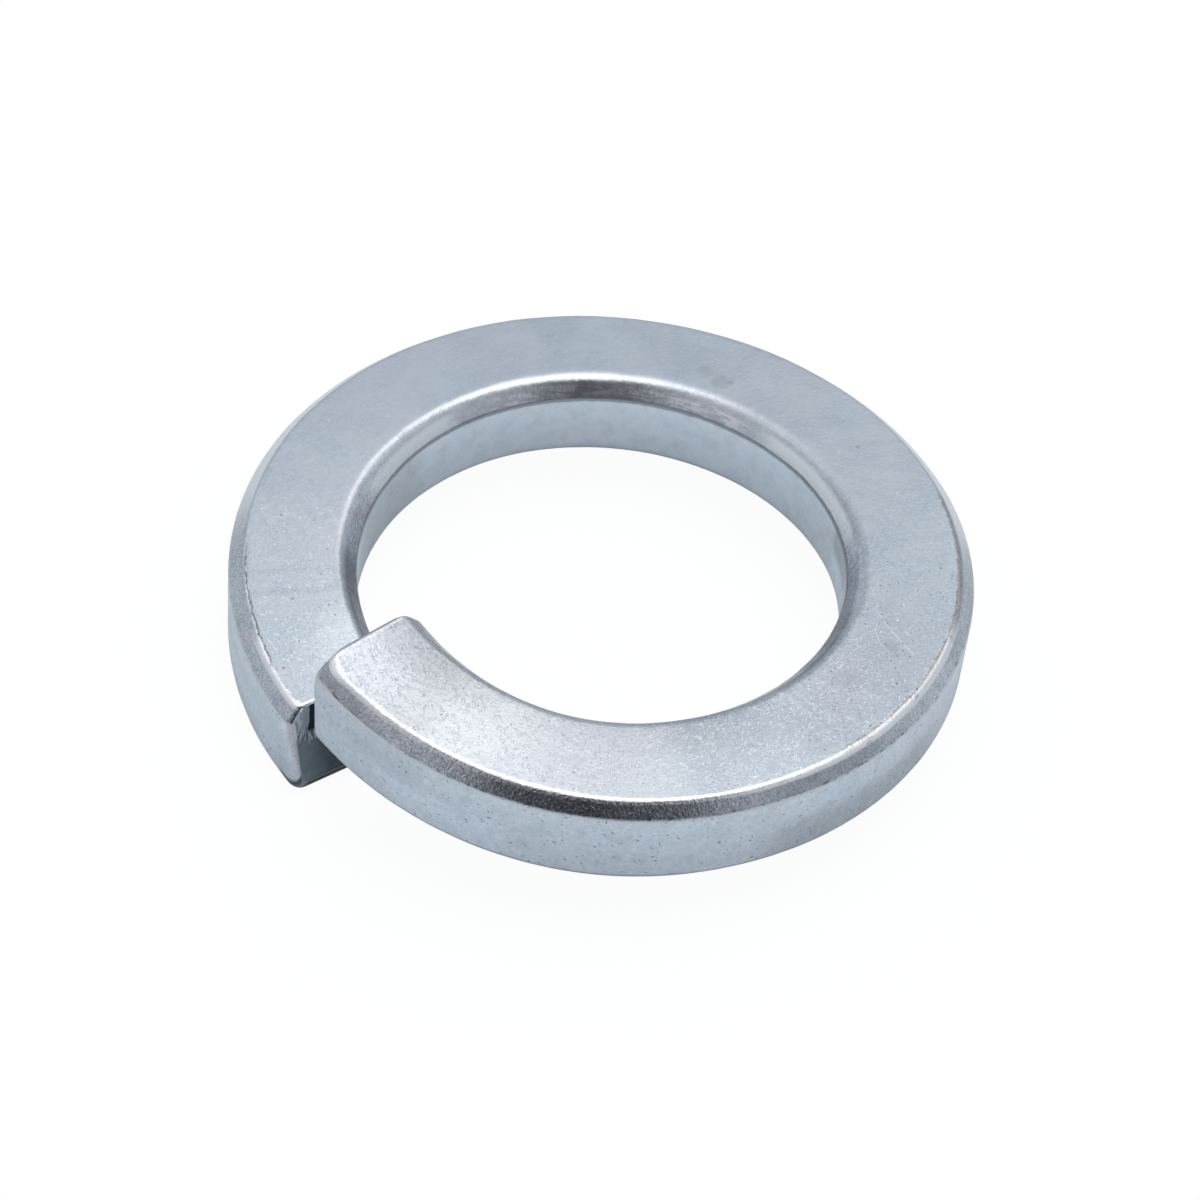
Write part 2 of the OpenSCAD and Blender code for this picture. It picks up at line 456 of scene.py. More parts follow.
# material
class Nodes:
    """A small helper that adds shader nodes and links them."""

    def __init__(self, tree):
        self.tree = tree
        self.tree.nodes.clear()

    def put(self, socket, value):
        if isinstance(value, bpy.types.NodeSocket):
            self.tree.links.new(value, socket)
        elif value is not None:
            socket.default_value = value

    def add(self, kind, inputs=(), **props):
        node = self.tree.nodes.new(kind)
        for k, v in props.items():
            setattr(node, k, v)
        for k, v in dict(inputs).items():
            self.put(node.inputs[k], v)
        return node

    def math(self, op, a, b=None, c=None, clamp=False):
        node = self.add("ShaderNodeMath", operation=op, use_clamp=clamp)
        for i, v in enumerate((a, b, c)):
            if v is not None:
                self.put(node.inputs[i], v)
        return node.outputs[0]

    def remap(self, value, a, b, lo=0.0, hi=1.0, kind="SMOOTHSTEP"):
        node = self.add("ShaderNodeMapRange", interpolation_type=kind)
        for k, v in {"Value": value, "From Min": a, "From Max": b, "To Min": lo, "To Max": hi}.items():
            self.put(node.inputs[k], v)
        return node.outputs["Result"]

    def mix(self, fac, a, b):
        node = self.add("ShaderNodeMix", data_type="RGBA")
        self.put(node.inputs[0], fac)
        self.put(node.inputs[6], a)
        self.put(node.inputs[7], b)
        return node.outputs[2]

    def noise(self, vector, scale, detail=2.0, rough=0.5, distortion=0.0):
        node = self.add("ShaderNodeTexNoise", {
            "Vector": vector, "Scale": scale, "Detail": detail, "Roughness": rough, "Distortion": distortion})
        return node.outputs[0]

    def vector(self, op, a, b):
        node = self.add("ShaderNodeVectorMath", {0: a, 1: b}, operation=op)
        return node.outputs["Value" if op in ("DOT_PRODUCT", "LENGTH", "DISTANCE") else "Vector"]

    def times(self, first, *more):
        for value in more:
            first = self.math("MULTIPLY", first, value)
        return first

    def plus(self, first, *more):
        for value in more:
            first = self.math("ADD", first, value)
        return first

    def most(self, first, *more):
        for value in more:
            first = self.math("MAXIMUM", first, value)
        return first

    def shade(self, colour, by):
        """A colour times a number."""
        return self.add("ShaderNodeVectorMath", {0: colour, "Scale": by}, operation="SCALE").outputs[0]

    def near_line(self, value, at, half, soft):
        """1 within half of a value, 0 a soft distance further out."""
        off = self.math("ABSOLUTE", self.math("SUBTRACT", value, at))
        return self.remap(off, half, half + soft, 1.0, 0.0)

    def between(self, value, a, b, soft):
        """1 from a to b, 0 a soft distance outside."""
        return self.times(self.remap(value, a - soft, a), self.remap(value, b, b + soft, 1.0, 0.0))

    def cells(self, vector, size, turn=0.0, shift=0.0):
        """Random cells of a size in millimetres, turned in the surface: distance and a random number."""
        spot = self.add("ShaderNodeMapping", {
            "Vector": vector, "Location": (shift, shift * 0.37, 0), "Rotation": (0, 0, math.radians(turn)),
            "Scale": (size[0], size[1], 1)}, vector_type="TEXTURE").outputs[0]
        node = self.add("ShaderNodeTexVoronoi", {"Vector": spot, "Scale": 1.0}, voronoi_dimensions="2D")
        chance = self.add("ShaderNodeSeparateXYZ", {0: node.outputs["Color"]}).outputs
        return node.outputs["Distance"], chance["X"], chance["Y"]


# single marks on the top face as (degrees along, radius, size in mm, strength)
DARK_SPOTS = [
    (147.1, 18.3, 0.75, 0.30), (151.2, 17.9, 0.85, 0.34), (153.1, 18.15, 0.28, 0.6),
    (183.8, 19.35, 0.2, 0.6), (8.1, 21.65, 0.13, 1.0), (22.5, 19.55, 0.12, 0.9),
    (241.2, 19.3, 0.75, 0.25), (253.4, 18.3, 0.9, 0.2), (343.9, 20.0, 0.12, 0.6),
    (338.9, 19.6, 0.1, 0.6),
]
BRIGHT_SPOTS = [(265.3, 22.25, 0.16, 1.0), (263.0, 22.3, 0.12, 1.0), (233.8, 18.9, 0.08, 1.0)]
# straight pieces of scratches as (degrees, radius, degrees, radius, strength)
SCRATCHES = [
    (231.8, 17.3, 235.7, 18.3, 0.5), (235.7, 18.3, 238.1, 19.3, 0.7), (238.1, 19.3, 240.9, 20.75, 0.8),
    (237.8, 17.8, 240.9, 18.5, 0.5), (240.9, 18.5, 242.9, 19.45, 0.5), (13.9, 20.3, 12.6, 20.0, 1.0),
    (12.6, 20.0, 12.1, 19.6, 1.0), (266.8, 20.7, 266.5, 21.4, 1.0), (260.8, 20.45, 260.6, 20.8, 1.0),
    (267.5, 21.7, 266.7, 22.0, 0.6), (236.1, 19.6, 236.8, 19.9, 0.8),
]
# scuffs in layers, as (turn in degrees, shift, size of a cell in mm)
SCUFF_LAYERS = (
    (18, 3.1, (0.70, 0.13)), (-34, 11.7, (0.52, 0.12)), (67, 23.9, (0.60, 0.12)),
    (-78, 37.3, (0.42, 0.11)), (42, 51.1, (0.34, 0.11)),
)
# pits in layers, as (size of a cell in mm, shift, reach)
PIT_LAYERS = ((0.46, 5.3, 0.13), (0.30, 17.9, 0.16))
# colours of the plain plate
PLATE_GREY = (0.475, 0.535, 0.595, 1)
PLATE_PALE = (0.505, 0.56, 0.615, 1)
PLATE_BLUE = (0.42, 0.485, 0.55, 1)
PLATE_FRONT_HIGHLIGHT = (0.612, 0.638, 0.672, 1)
PLATE_WARM = (0.550, 0.562, 0.592, 1)
PLATE_LAVENDER = (0.535, 0.555, 0.622, 1)
# of the bevels
BEVEL_PALE = (0.525, 0.56, 0.605, 1)
BEVEL_GREY = (0.49, 0.495, 0.54, 1)
BEVEL_BROWN = (0.42, 0.385, 0.395, 1)
BEVEL_STREAK = (0.44, 0.39, 0.40, 1)
BEVEL_WARM = (0.475, 0.465, 0.50, 1)
# where they carry painted highlight
PAINTED_RIM_SHEEN = (0.80, 0.83, 0.87, 1)
PAINTED_FAR_SHEEN = (0.82, 0.81, 0.86, 1)
PAINTED_SIDE_SHEEN = (0.90, 0.91, 0.94, 1)
PAINTED_STREAK_SHEEN = (0.94, 0.93, 0.97, 1)
# of the lines along the edges, with the painted shade of the inner bevel and a painted glint
DARK_EDGE_AND_SHADE = (0.12, 0.13, 0.15, 1)
BORE_LINE = (0.13, 0.13, 0.15, 1)
BROWN_BAND = (0.33, 0.31, 0.31, 1)
BROWN_LINE = (0.22, 0.19, 0.18, 1)
WORN_LINE_AND_GLINT = (0.95, 0.94, 0.95, 1)
BLACK_LINE = (0.05, 0.045, 0.045, 1)
PINK_FLECK = (0.66, 0.62, 0.63, 1)
DARK_NICK = (0.10, 0.09, 0.10, 1)
DARK_HEM = (0.14, 0.15, 0.18, 1)
# of the scuffs, pits and spots, and of the painted glow
FROST = (0.80, 0.84, 0.88, 1)
GLOW = (0.93, 0.94, 0.96, 1)
SCUFF = (0.93, 0.95, 0.97, 1)
PIT = (0.17, 0.19, 0.22, 1)
BRIGHT_SPOT = (0.92, 0.92, 0.93, 1)
# of the two ends
CROWN = (0.20, 0.205, 0.225, 1)
CREST_HIGHLIGHT = (0.90, 0.90, 0.92, 1)
CORNER_PINK = (0.50, 0.475, 0.48, 1)
CORNER_DARK = (0.20, 0.19, 0.20, 1)
LIP_HIGHLIGHT = (0.95, 0.96, 0.97, 1)
FOOT_SHADE = (0.045, 0.055, 0.07, 1)
SHEARED_SHADE = (0.185, 0.225, 0.25, 1)
SHEARED_DEEP_SHADE = (0.075, 0.092, 0.115, 1)
TORN_DARK = (0.06, 0.07, 0.085, 1)
TORN_PALE = (0.40, 0.43, 0.47, 1)
LEDGE = (0.30, 0.33, 0.37)
GAP_SHADOW = (0.02, 0.026, 0.034, 1)
SHINE_PALE = (0.50, 0.56, 0.605, 1)
SHINE_DARK = (0.27, 0.31, 0.35, 1)
STRIP_EDGE = (0.03, 0.03, 0.04, 1)
BACK_TORN = (0.30, 0.33, 0.36)
BACK_ROLLED = (0.42, 0.46, 0.50)


def zinc():
    """Zinc plate over spring steel: grained and scuffed, with burnished edges, painted highlight and shade in
    places, and sheared ends.
    """
    mat = bpy.data.materials.new("zinc_plated_steel")
    mat.use_nodes = True
    n = Nodes(mat.node_tree)
    place = n.add("ShaderNodeTexCoord").outputs["Object"]
    mm = n.vector("MULTIPLY", place, (1000, 1000, 1000))
    height_z = n.add("ShaderNodeSeparateXYZ", {0: mm}).outputs["Z"]

    def parts(name):
        node = n.add("ShaderNodeAttribute", attribute_name=name)
        split = n.add("ShaderNodeSeparateXYZ", {0: node.outputs["Vector"]}).outputs
        return node.outputs["Vector"], split["X"], split["Y"], split["Z"]

    _, top, wall, bore = parts("faces")
    _, outer, inner, under = parts("bevels")
    _, low_cap, high_cap, _ = parts("ends")
    surf, x, y, _ = parts("coil")
    _, plate_light_and_shade, bevel_light_and_shade, crisp = parts("tone")
    bevel = n.most(outer, inner)

    cloud = n.noise(mm, 0.28, 3, 0.55)
    patch = n.noise(mm, 0.95, 3, 0.6)
    grain = n.noise(mm, 2.7, 3, 0.62)
    peel = n.noise(mm, 5.2, 2, 0.55, 0.4)
    fine = n.noise(mm, 12.0, 2, 0.5)
    ragged = n.noise(surf, 1.3, 4, 0.7)
    jagged = n.noise(surf, 4.5, 3, 0.7)

    def spread(value, by):
        """A noise value as a factor round 1."""
        return n.math("MULTIPLY_ADD", n.math("SUBTRACT", value, 0.5), by, 1.0)

    # plain plate
    _, extra_fleck, front_highlight, warm_end = parts("flecks_and_front_highlight")
    plate = n.mix(n.remap(cloud, 0.36, 0.64), PLATE_GREY, PLATE_PALE)
    plate = n.mix(n.times(n.remap(patch, 0.54, 0.72), 0.5), plate, PLATE_BLUE)
    # painted highlight on the front of the top face
    plate = n.mix(n.times(front_highlight, 0.85), plate, PLATE_FRONT_HIGHLIGHT)
    plate = n.mix(n.times(warm_end, 0.65), plate, PLATE_WARM)
    # a lavender haze in places
    haze = n.remap(n.noise(mm, 0.12, 2, 0.5), 0.42, 0.62)
    plate = n.mix(n.times(haze, top, 0.6), plate, PLATE_LAVENDER)
    tone = n.times(
        spread(grain, n.times(crisp, 0.34)),
        spread(peel, n.times(crisp, 0.30)),
        spread(fine, n.times(crisp, 0.22)))
    # fine curly strokes of the rolled surface
    curl = n.math("ABSOLUTE", n.math("SUBTRACT", n.noise(mm, 4.6, 3, 0.62, 1.2), 0.5))
    curl = n.times(
        n.remap(curl, 0.0, 0.040, 1.0, 0.0),
        n.remap(grain, 0.40, 0.58),
        n.remap(crisp, 0.70, 0.98), top)
    # the painted light and shade of the plate comes in here, with the grain
    tone = n.times(tone, n.math("MULTIPLY_ADD", curl, -0.10, 1.0), plate_light_and_shade,
                   spread(patch, n.times(n.most(wall, bore), 0.45)))
    colour = n.shade(plate, tone)

    # bevels: burnished, speckled, brownish in places, with painted light and shade over spans along the ring
    speck = n.noise(mm, 8.5, 3, 0.60, 0.8)
    drawn = n.noise(n.vector("MULTIPLY", surf, (0.55, 4.2, 1.0)), 1.0, 3, 0.65, 0.4)
    burnished = n.mix(n.remap(patch, 0.45, 0.62), BEVEL_PALE, BEVEL_GREY)
    burnished = n.mix(n.times(n.remap(ragged, 0.54, 0.70), 0.4), burnished, BEVEL_BROWN)
    burnished = n.mix(n.times(n.remap(drawn, 0.50, 0.64), inner, 0.55), burnished, BEVEL_STREAK)
    speck_dark = n.math("MULTIPLY_ADD", crisp, -0.20, 1.0)
    speck_pale = n.math("MULTIPLY_ADD", crisp, 0.20, 1.0)
    speckled = n.remap(speck, 0.37, 0.63, speck_dark, speck_pale)
    burnished = n.mix(n.times(warm_end, 0.7), burnished, BEVEL_WARM)
    burnished = n.shade(burnished, n.times(
        speckled, spread(grain, 0.35), spread(patch, n.times(outer, 0.8)), bevel_light_and_shade))
    colour = n.mix(bevel, colour, burnished)
    _, rim, sides, far_band = parts("painted_sheen")
    colour = n.mix(rim, colour, PAINTED_RIM_SHEEN)
    # painted highlight across the inner bevel's upper part, in streaks along the wire
    painted_sheen = n.plus(y, n.times(n.math("SUBTRACT", drawn, 0.5), 1.1))
    painted_sheen = n.remap(painted_sheen, corner_at[0] - 1.9, corner_at[0] - 1.1)
    painted_sheen = n.times(painted_sheen, n.remap(y, corner_at[0] - 0.75, corner_at[0] - 0.35, 1.0, 0.10))
    colour = n.mix(n.times(far_band, 0.36), colour, PAINTED_FAR_SHEEN)
    colour = n.mix(n.times(painted_sheen, sides), colour, PAINTED_SIDE_SHEEN)
    far_streaks = n.times(painted_sheen, far_band, n.remap(n.plus(drawn, n.times(patch, 0.5)), 0.66, 0.86))
    colour = n.mix(far_streaks, colour, PAINTED_STREAK_SHEEN)
    _, dark_edge_and_shade, worn_on, fold_on = parts("lines")
    # a faint dark line along the bore's edge, and painted shade over the inner bevel in two spans
    colour = n.mix(n.times(dark_edge_and_shade, n.remap(ragged, 0.25, 0.55, 0.7, 1.0)), colour, DARK_EDGE_AND_SHADE)

    # lines along the edges
    wander = n.times(n.math("SUBTRACT", ragged, 0.5), 0.5)
    shiver = n.times(n.math("SUBTRACT", jagged, 0.5), 0.3)
    y_edge = n.plus(y, wander, shiver)
    # bore edge of the inner bevel: a thin dark line
    bore_line = n.near_line(n.plus(y, n.times(wander, 0.4)), corner_at[5] - 0.06, 0.07, 0.16)
    colour = n.mix(n.times(bore_line, 0.62), colour, BORE_LINE)
    # outer edge of the top face: a dark fold near the low end, a brownish line on the right
    fold = n.near_line(y_edge, corner_at[1] - 0.14, 0.014, 0.04)
    fold = n.times(fold, n.remap(jagged, 0.36, 0.52, 0.4, 1.0), fold_on)
    _, brown_on, spark_on, nick_on = parts("marks")
    spark = n.near_line(y_edge, corner_at[1] - 0.10, 0.05, 0.10)
    spark = n.times(spark, n.remap(jagged, 0.50, 0.58), spark_on)
    brown = n.times(n.near_line(y_edge, corner_at[1] - 0.10, 0.05, 0.10), brown_on)
    brown_band = n.times(n.near_line(y_edge, corner_at[1] + 0.05, 0.10, 0.14), brown_on)
    colour = n.mix(n.times(brown_band, 0.40), colour, BROWN_BAND)
    colour = n.mix(n.times(brown, 0.6), colour, BROWN_LINE)
    # a bright worn line just outside that edge, and a painted glint on that edge near the low end
    worn = n.times(n.near_line(n.plus(y, n.times(shiver, 0.15)), corner_at[1] + 0.12, 0.12, 0.18),
                   n.remap(ragged, 0.25, 0.45), worn_on)
    colour = n.mix(n.most(n.times(worn, 0.85), n.times(spark, 0.9)), colour, WORN_LINE_AND_GLINT)
    colour = n.mix(n.times(fold, 0.9), colour, BLACK_LINE)
    # edge between the outer bevel and the wall: pinkish flecks and dark nicks
    under_bevel = n.near_line(y_edge, corner_at[2] + 0.10, 0.05, 0.22)
    fleck = n.times(under_bevel, n.most(n.remap(jagged, 0.42, 0.58), extra_fleck))
    colour = n.mix(n.times(fleck, 0.6), colour, PINK_FLECK)
    nick = n.times(n.near_line(y_edge, corner_at[2] - 0.06, 0.03, 0.08), n.remap(ragged, 0.50, 0.60), nick_on)
    colour = n.mix(n.times(nick, 0.75), colour, DARK_NICK)

    # a thin dark line along the foot of the outer wall
    hem = n.near_line(n.plus(y, n.times(wander, 0.3)), corner_at[3] - 0.22, 0.03, 0.14)
    colour = n.mix(n.times(hem, 0.40), colour, DARK_HEM)

    # scuffs: short curved scratches in many directions, thickest on the right front
    _, glow, scuffed, pitted = parts("wear_and_glow")
    thick = n.times(scuffed, n.remap(cloud, 0.3, 0.6, 0.6, 1.2))
    frost = n.times(n.remap(n.noise(surf, 8.5, 3, 0.7, 0.6), 0.56, 0.74), thick, top, crisp)
    swirl = n.add("ShaderNodeTexNoise", {"Vector": surf, "Scale": 0.9, "Detail": 1.0}).outputs["Color"]
    bent = n.vector("ADD", surf, n.vector("MULTIPLY", swirl, (0.7, 0.7, 0)))
    scuffs = None
    for turn, shift, size in SCUFF_LAYERS:
        far, chance, width = n.cells(bent, size, turn, shift)
        line_core = n.math("MULTIPLY_ADD", width, 0.16, 0.06)
        line_edge = n.math("MULTIPLY_ADD", width, 0.16, 0.20)
        line = n.remap(far, line_core, line_edge, 1.0, 0.0)
        keep = n.math("GREATER_THAN", n.times(thick, 0.27), chance)
        line = n.times(line, keep, n.math("MULTIPLY_ADD", n.times(width, width), 0.8, 0.2))
        scuffs = line if scuffs is None else n.most(scuffs, line)
    scuffs = n.times(scuffs, n.plus(top, n.times(n.most(wall, bore), 0.25)), crisp)
    for a0, r0, a1, r1, strength in SCRATCHES:
        p, q = Vector(on_ring(a0, r0)), Vector(on_ring(a1, r1))
        way = q - p
        off = n.vector("SUBTRACT", mm, tuple(p))
        share = n.vector("DOT_PRODUCT", off, tuple(way))
        share = n.math("MULTIPLY", share, 1 / way.length_squared, clamp=True)
        foot = n.add("ShaderNodeVectorMath", {0: tuple(way), "Scale": share}, operation="SCALE").outputs[0]
        gap = n.vector("DISTANCE", off, foot)
        scuffs = n.most(scuffs, n.remap(gap, 0.018, 0.05, strength, 0.0))
    colour = n.mix(n.times(frost, 0.38), colour, FROST)
    # painted highlight where the low arm dips under the high end
    colour = n.mix(glow, colour, GLOW)
    colour = n.mix(n.times(scuffs, 0.62), colour, SCUFF)

    # pits and specks
    pits = None
    busy = n.times(pitted, n.remap(patch, 0.40, 0.62, 0.15, 1.5))
    for size, shift, reach in PIT_LAYERS:
        far, chance, width = n.cells(surf, (size, size * 0.8), 25, shift)
        hole = n.remap(far, n.times(width, reach), n.math("MULTIPLY_ADD", width, reach, 0.14), 1.0, 0.0)
        hole = n.times(hole, n.math("GREATER_THAN", busy, chance), n.math("MULTIPLY_ADD", width, 0.7, 0.3))
        pits = hole if pits is None else n.most(pits, hole)
    far, chance, width = n.cells(bent, (0.9, 0.2), -62, 71.7)
    slant = n.times(n.remap(far, 0.05, 0.22, 1.0, 0.0), n.math("GREATER_THAN", 0.07, chance), wall)
    pits = n.times(n.most(pits, slant), crisp, n.most(top, wall, bore))
    for degrees, radius, size, strength in DARK_SPOTS:
        warped = n.vector("ADD", mm, n.vector("MULTIPLY", swirl, (0.5 * size, 0.5 * size, 0)))
        centre = Vector(on_ring(degrees, radius)) + Vector((0.25 * size, 0.25 * size, 0))
        off = n.vector("DISTANCE", warped, tuple(centre))
        off = n.plus(off, n.times(n.math("SUBTRACT", jagged, 0.5), size * 1.3))
        pits = n.most(pits, n.remap(off, size * 0.45, size, strength, 0.0))
    colour = n.mix(n.times(pits, 0.72), colour, PIT)
    for degrees, radius, size, strength in BRIGHT_SPOTS:
        off = n.vector("DISTANCE", mm, on_ring(degrees, radius))
        colour = n.mix(n.remap(off, size * 0.5, size, strength, 0.0), colour, BRIGHT_SPOT)

    # ends
    from_high = n.math("SUBTRACT", LENGTH, x)
    crown = n.remap(n.plus(from_high, n.times(wander, 0.2)), 0.12, 0.40, 1.0, 0.0)
    crown = n.times(crown, n.most(top, bevel, wall))
    colour = n.mix(n.times(crown, 0.42), colour, CROWN)
    # painted highlight: a thin bright line over the top face just before the high end's crown
    crest_highlight = n.times(n.near_line(n.plus(from_high, n.times(wander, 0.25)), 0.46, 0.05, 0.12), top)
    colour = n.mix(n.times(crest_highlight, 0.20), colour, CREST_HIGHLIGHT)
    # low end: worn upright corner, painted highlight on the lip of the top edge, dark double line on the
    # bevel
    corner_x = n.plus(x, n.times(wander, 0.5), n.remap(height_z, 1.2, 4.2, 0.28, 0.0))
    corner = n.times(wall, n.remap(corner_x, 0.12, 0.34, 1.0, 0.0))
    worn_pink = n.mix(n.remap(jagged, 0.58, 0.64), CORNER_PINK, CORNER_DARK)
    colour = n.mix(n.times(corner, 0.8), colour, worn_pink)
    lip = n.times(top, n.remap(x, 0.10, 0.20, 1.0, 0.0))
    colour = n.mix(n.times(lip, 0.85), colour, LIP_HIGHLIGHT)
    twin = n.most(n.near_line(n.plus(x, n.times(shiver, 0.10)), 0.05, 0.010, 0.025),
                  n.times(n.near_line(n.plus(x, n.times(shiver, 0.25)), 0.17, 0.004, 0.025), 0.75))
    twin = n.times(outer, twin)
    colour = n.mix(n.times(twin, 0.85), colour, BLACK_LINE)

    # painted shade: the foot, rolled under, made dark
    wall_foot = n.times(wall, n.remap(y, corner_at[2] + 4.2, corner_at[2] + 4.6))
    foot = n.times(n.most(under, wall_foot), n.remap(x, 0.75, 1.30, 1.0, 0.0))
    colour = n.mix(n.times(foot, 0.95), colour, FOOT_SHADE)

    # sheared faces, in distance from the outer wall and height over the seat
    ring_r = n.vector("LENGTH", n.vector("MULTIPLY", mm, (1, 1, 0)), (0, 0, 0))
    s = n.math("SUBTRACT", OUTER_R, ring_r)
    streak = n.noise(n.vector("MULTIPLY", mm, (6.0, 6.0, 0.55)), 1.0, 3, 0.6)
    tear = n.math("SUBTRACT", n.noise(n.vector("MULTIPLY", mm, (1.5, 1.5, 1.0)), 1.0, 3, 0.7), 0.5)
    # painted shade: the smooth face, under the high end, made dark and darker towards the bore
    dark = n.mix(n.remap(s, 0.5, 3.0), SHEARED_SHADE, SHEARED_DEEP_SHADE)
    face = n.shade(dark, n.times(spread(patch, 0.5), spread(grain, 0.3)))
    # torn band above it, with streaks that fan out from the top of the gap's painted shadow
    fan = n.math("ARCTAN2", n.math("SUBTRACT", s, 1.7), n.math("SUBTRACT", 5.6, height_z))
    fan_place = n.add("ShaderNodeCombineXYZ", {"X": n.times(fan, 9.0), "Y": n.times(height_z, 0.8)})
    fan = n.noise(fan_place.outputs[0], 1.0, 3, 0.7)
    torn_from = n.plus(height_z, n.times(tear, 1.2), n.times(fan, 1.6))
    fracture = n.mix(n.remap(fan, 0.42, 0.58), TORN_DARK, TORN_PALE)
    torn_band = n.remap(torn_from, 4.25, 4.45)
    face = n.mix(torn_band, face, fracture)
    # ledge, and the gap's painted shadow in black beside the sheared patch
    gap_shadow_at = n.remap(height_z, 4.0, 5.4, 1.32, 1.60, "LINEAR")
    warped_s = n.plus(s, n.times(tear, 0.35))
    ledge = n.times(n.remap(warped_s, 0.6, 0.9), n.remap(height_z, 4.15, 4.5))
    face = n.mix(ledge, face, n.shade(LEDGE, spread(streak, 0.8)))
    gap_shadow = n.remap(n.math("SUBTRACT", warped_s, gap_shadow_at), -0.05, 0.06)
    gap_shadow = n.times(gap_shadow, n.remap(n.plus(height_z, n.times(fan, 0.8)), 4.3, 4.6))
    face = n.mix(gap_shadow, face, GAP_SHADOW)
    # light sheared patch under the outer bevel, with upright streaks
    shine_at = n.remap(height_z, 3.7, 4.9, 0.42, 1.18, "LINEAR")
    shine_s = n.plus(s, n.times(tear, 0.6), n.times(shiver, 0.5))
    shine = n.remap(n.math("SUBTRACT", shine_s, shine_at), -0.08, 0.04, 1.0, 0.0)
    shine = n.times(shine, n.remap(n.plus(height_z, n.times(tear, 0.8)), 3.5, 3.7))
    burnish = n.mix(n.remap(streak, 0.42, 0.60), SHINE_PALE, SHINE_DARK)
    face = n.mix(shine, face, burnish)
    # worn strip along the upright corner, narrowest at a third of the height
    strip_at = n.plus(n.remap(height_z, 1.9, 4.1, 0.04, 0.40), n.remap(height_z, 0.5, 1.9, 0.48, 0.0))
    strip_s = n.plus(s, n.times(wander, 0.25))
    strip_gap = n.math("SUBTRACT", strip_s, strip_at)
    strip = n.remap(strip_gap, -0.06, 0.03, 1.0, 0.0)
    strip = n.times(strip, n.remap(height_z, 0.6, 1.2), n.remap(height_z, 4.2, 4.9, 1.0, 0.25))
    rim_dark = n.times(n.near_line(strip_gap, 0.06, 0.02, 0.06), n.between(height_z, 1.2, 3.6, 0.4))
    face = n.mix(n.times(rim_dark, 0.6), face, STRIP_EDGE)
    face = n.mix(strip, face, worn_pink)
    # painted shade: the face darker towards its bottom edge
    face = n.shade(face, n.remap(height_z, 0.35, 1.0, 0.35, 1.0))
    colour = n.mix(low_cap, colour, face)
    # the hidden face of the high end: a rolled upper part over a grey torn one
    torn = n.shade(BACK_TORN, n.times(spread(speck, 1.0), spread(streak, 0.6)))
    rolled = n.shade(BACK_ROLLED, spread(streak, 0.5))
    back = n.mix(n.remap(n.plus(height_z, n.times(tear, 1.5)), 8.5, 8.8), torn, rolled)
    colour = n.mix(high_cap, colour, back)

    # relief in millimetres
    caps = n.most(low_cap, high_cap)
    relief = n.times(peel, n.times(crisp, n.math("MULTIPLY_ADD", bevel, 0.016, 0.010)))
    relief = n.plus(relief, n.times(grain, n.math("MULTIPLY_ADD", bevel, 0.012, 0.010)))
    relief = n.plus(relief, n.times(speck, bevel, crisp, 0.013))
    relief = n.plus(relief, n.times(fine, crisp, 0.0022), n.times(curl, -0.0045))
    relief = n.plus(relief, n.times(caps, n.plus(n.times(streak, 0.03), n.times(torn_band, 0.04))))
    bump = n.add("ShaderNodeBump", {"Strength": 1.0, "Distance": 0.001, "Height": relief})
    rough = n.plus(
        n.remap(cloud, 0.3, 0.7, 0.26, 0.31),
        n.times(bevel, -0.07),
        n.times(n.most(wall, bore), 0.05),
        n.times(scuffs, 0.15),
        n.times(pits, 0.2),
        n.times(n.math("SUBTRACT", patch, 0.5), 0.10),
        n.times(caps, 0.06),
        n.times(far_band, 0.12))
    shader = n.add("ShaderNodeBsdfPrincipled", {
        "Base Color": colour, "Metallic": 1.0, "Roughness": rough, "Normal": bump.outputs[0]})
    out = n.add("ShaderNodeOutputMaterial")
    n.put(out.inputs["Surface"], shader.outputs[0])
    return mat


mesh.materials.append(zinc())
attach(washer, "root")
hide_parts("washer")

# camera
FOCAL_PX = 3483.4
FRAME_PX = 1200
SENSOR = 36.0
CAM_AZIMUTH = -43.33
CAM_ELEVATION = 44.147
CAM_ROLL = 6.14
CAM_DISTANCE = 218.6
AIM_Z = 5.618
AIM_RIGHT, AIM_UP = -0.03, -1.4555

az, el, roll = (math.radians(x) for x in (CAM_AZIMUTH, CAM_ELEVATION, CAM_ROLL))
back = Vector((math.cos(el) * math.cos(az), math.cos(el) * math.sin(az), math.sin(el)))
level = Vector((-math.sin(az), math.cos(az), 0))
upward = back.cross(level)
cam_x = level * math.cos(roll) + upward * math.sin(roll)
cam_y = upward * math.cos(roll) - level * math.sin(roll)
eye = Vector((0, 0, AIM_Z)) + back * CAM_DISTANCE + cam_x * AIM_RIGHT + cam_y * AIM_UP
camera = bpy.data.objects.new("camera", bpy.data.cameras.new("camera"))
camera.data.sensor_width = SENSOR
camera.data.lens = FOCAL_PX / FRAME_PX * SENSOR
camera.data.clip_start, camera.data.clip_end = 0.01, 20
pose = Matrix((cam_x, cam_y, back)).transposed().to_4x4()
pose.translation = eye * MM
camera.matrix_world = pose
bpy.context.scene.collection.objects.link(camera)
bpy.context.scene.camera = camera

# floor, light and surroundings
# shares of white that the floor shows to the camera and to reflections
CAMERA_WHITE = 0.92
GLOSSY_WHITE = 0.2
# a little over 1, because the shadow's share of the floor is darker than white
FLOOR_WHITE = 1.03
